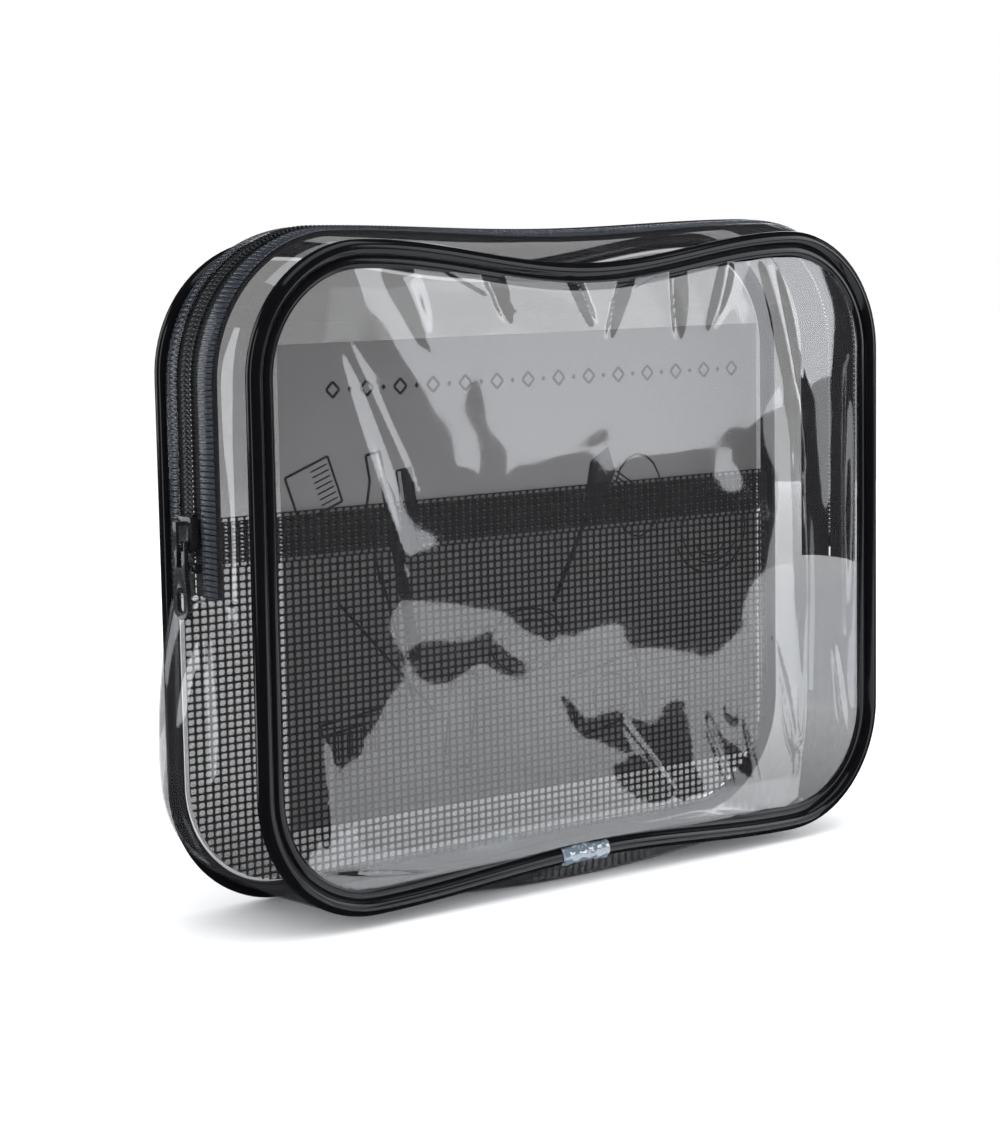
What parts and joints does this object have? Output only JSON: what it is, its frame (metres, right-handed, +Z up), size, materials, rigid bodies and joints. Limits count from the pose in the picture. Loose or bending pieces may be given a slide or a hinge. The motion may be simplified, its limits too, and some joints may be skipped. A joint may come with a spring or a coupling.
{
  "type": "clear cosmetic pouch",
  "caption": "Clear boxy cosmetic pouch with black piping, a zip round the top, a mesh pocket with an insert card, and a front that folds open.",
  "frame": {"origin": "middle of the flat underside of the bottom gusset", "axes": "+X along the width, to the right seen from the front; -Y towards the front panel; +Z up"},
  "size_m": [0.2277, 0.0528, 0.1767],
  "materials": {
    "clear_film": "smoke-tinted see-through soft PVC film, glossy",
    "piping": "glossy black soft PVC",
    "zip_tape": "black woven polyester tape",
    "zip_coil": "black nylon coil, satin",
    "zip_metal": "black enamelled die-cast zinc",
    "mesh": "black coated polyester net",
    "card": "white printed card"
  },
  "bodies": {
    "bag": {"rear_panel": "clear_film", "rear_piping": "piping", "rear_piping_sleeve": "clear_film", "bottom_gusset": "clear_film", "rear_gusset_strip": "clear_film", "rear_zip_tape": "zip_tape", "rear_zip_coil": "zip_coil", "rear_top_stop": "zip_metal", "zip_bottom_stop": "zip_metal", "front_panel_lower": "clear_film", "front_piping_lower": "piping", "front_piping_sleeve": "clear_film", "mesh_pocket": "mesh", "mesh_pocket_hem": "mesh"},
    "front_flap": {"front_panel_upper": "clear_film", "front_piping_upper": "piping", "front_gusset_strip": "clear_film", "front_zip_tape": "zip_tape", "front_zip_coil": "zip_coil", "front_top_stop": "zip_metal"},
    "slider": {"zip_slider": "zip_metal"},
    "pull": {"pull_tab": "zip_metal"},
    "card": {"insert_card": "card"}
  },
  "joints": [
    {"name": "flap_fold", "type": "hinge", "parent": "bag", "child": "front_flap", "pos_m": [0, -0.0297, 0.0815], "axis": [0.9991, 0, -0.042], "range_deg": [0, 120]},
    {"name": "slider_run", "type": "slide", "parent": "bag", "child": "slider", "axis": [0, 0, 1], "range_m": [0, 0.031]},
    {"name": "pull_swing", "type": "hinge", "parent": "slider", "child": "pull", "pos_m": [-0.11395, 0, 0.09955], "axis": [0, 1, 0], "range_deg": [0, 170]},
    {"name": "card_lift", "type": "slide", "parent": "bag", "child": "card", "axis": [0, 0, 1], "range_m": [0, 0.006]}
  ]
}
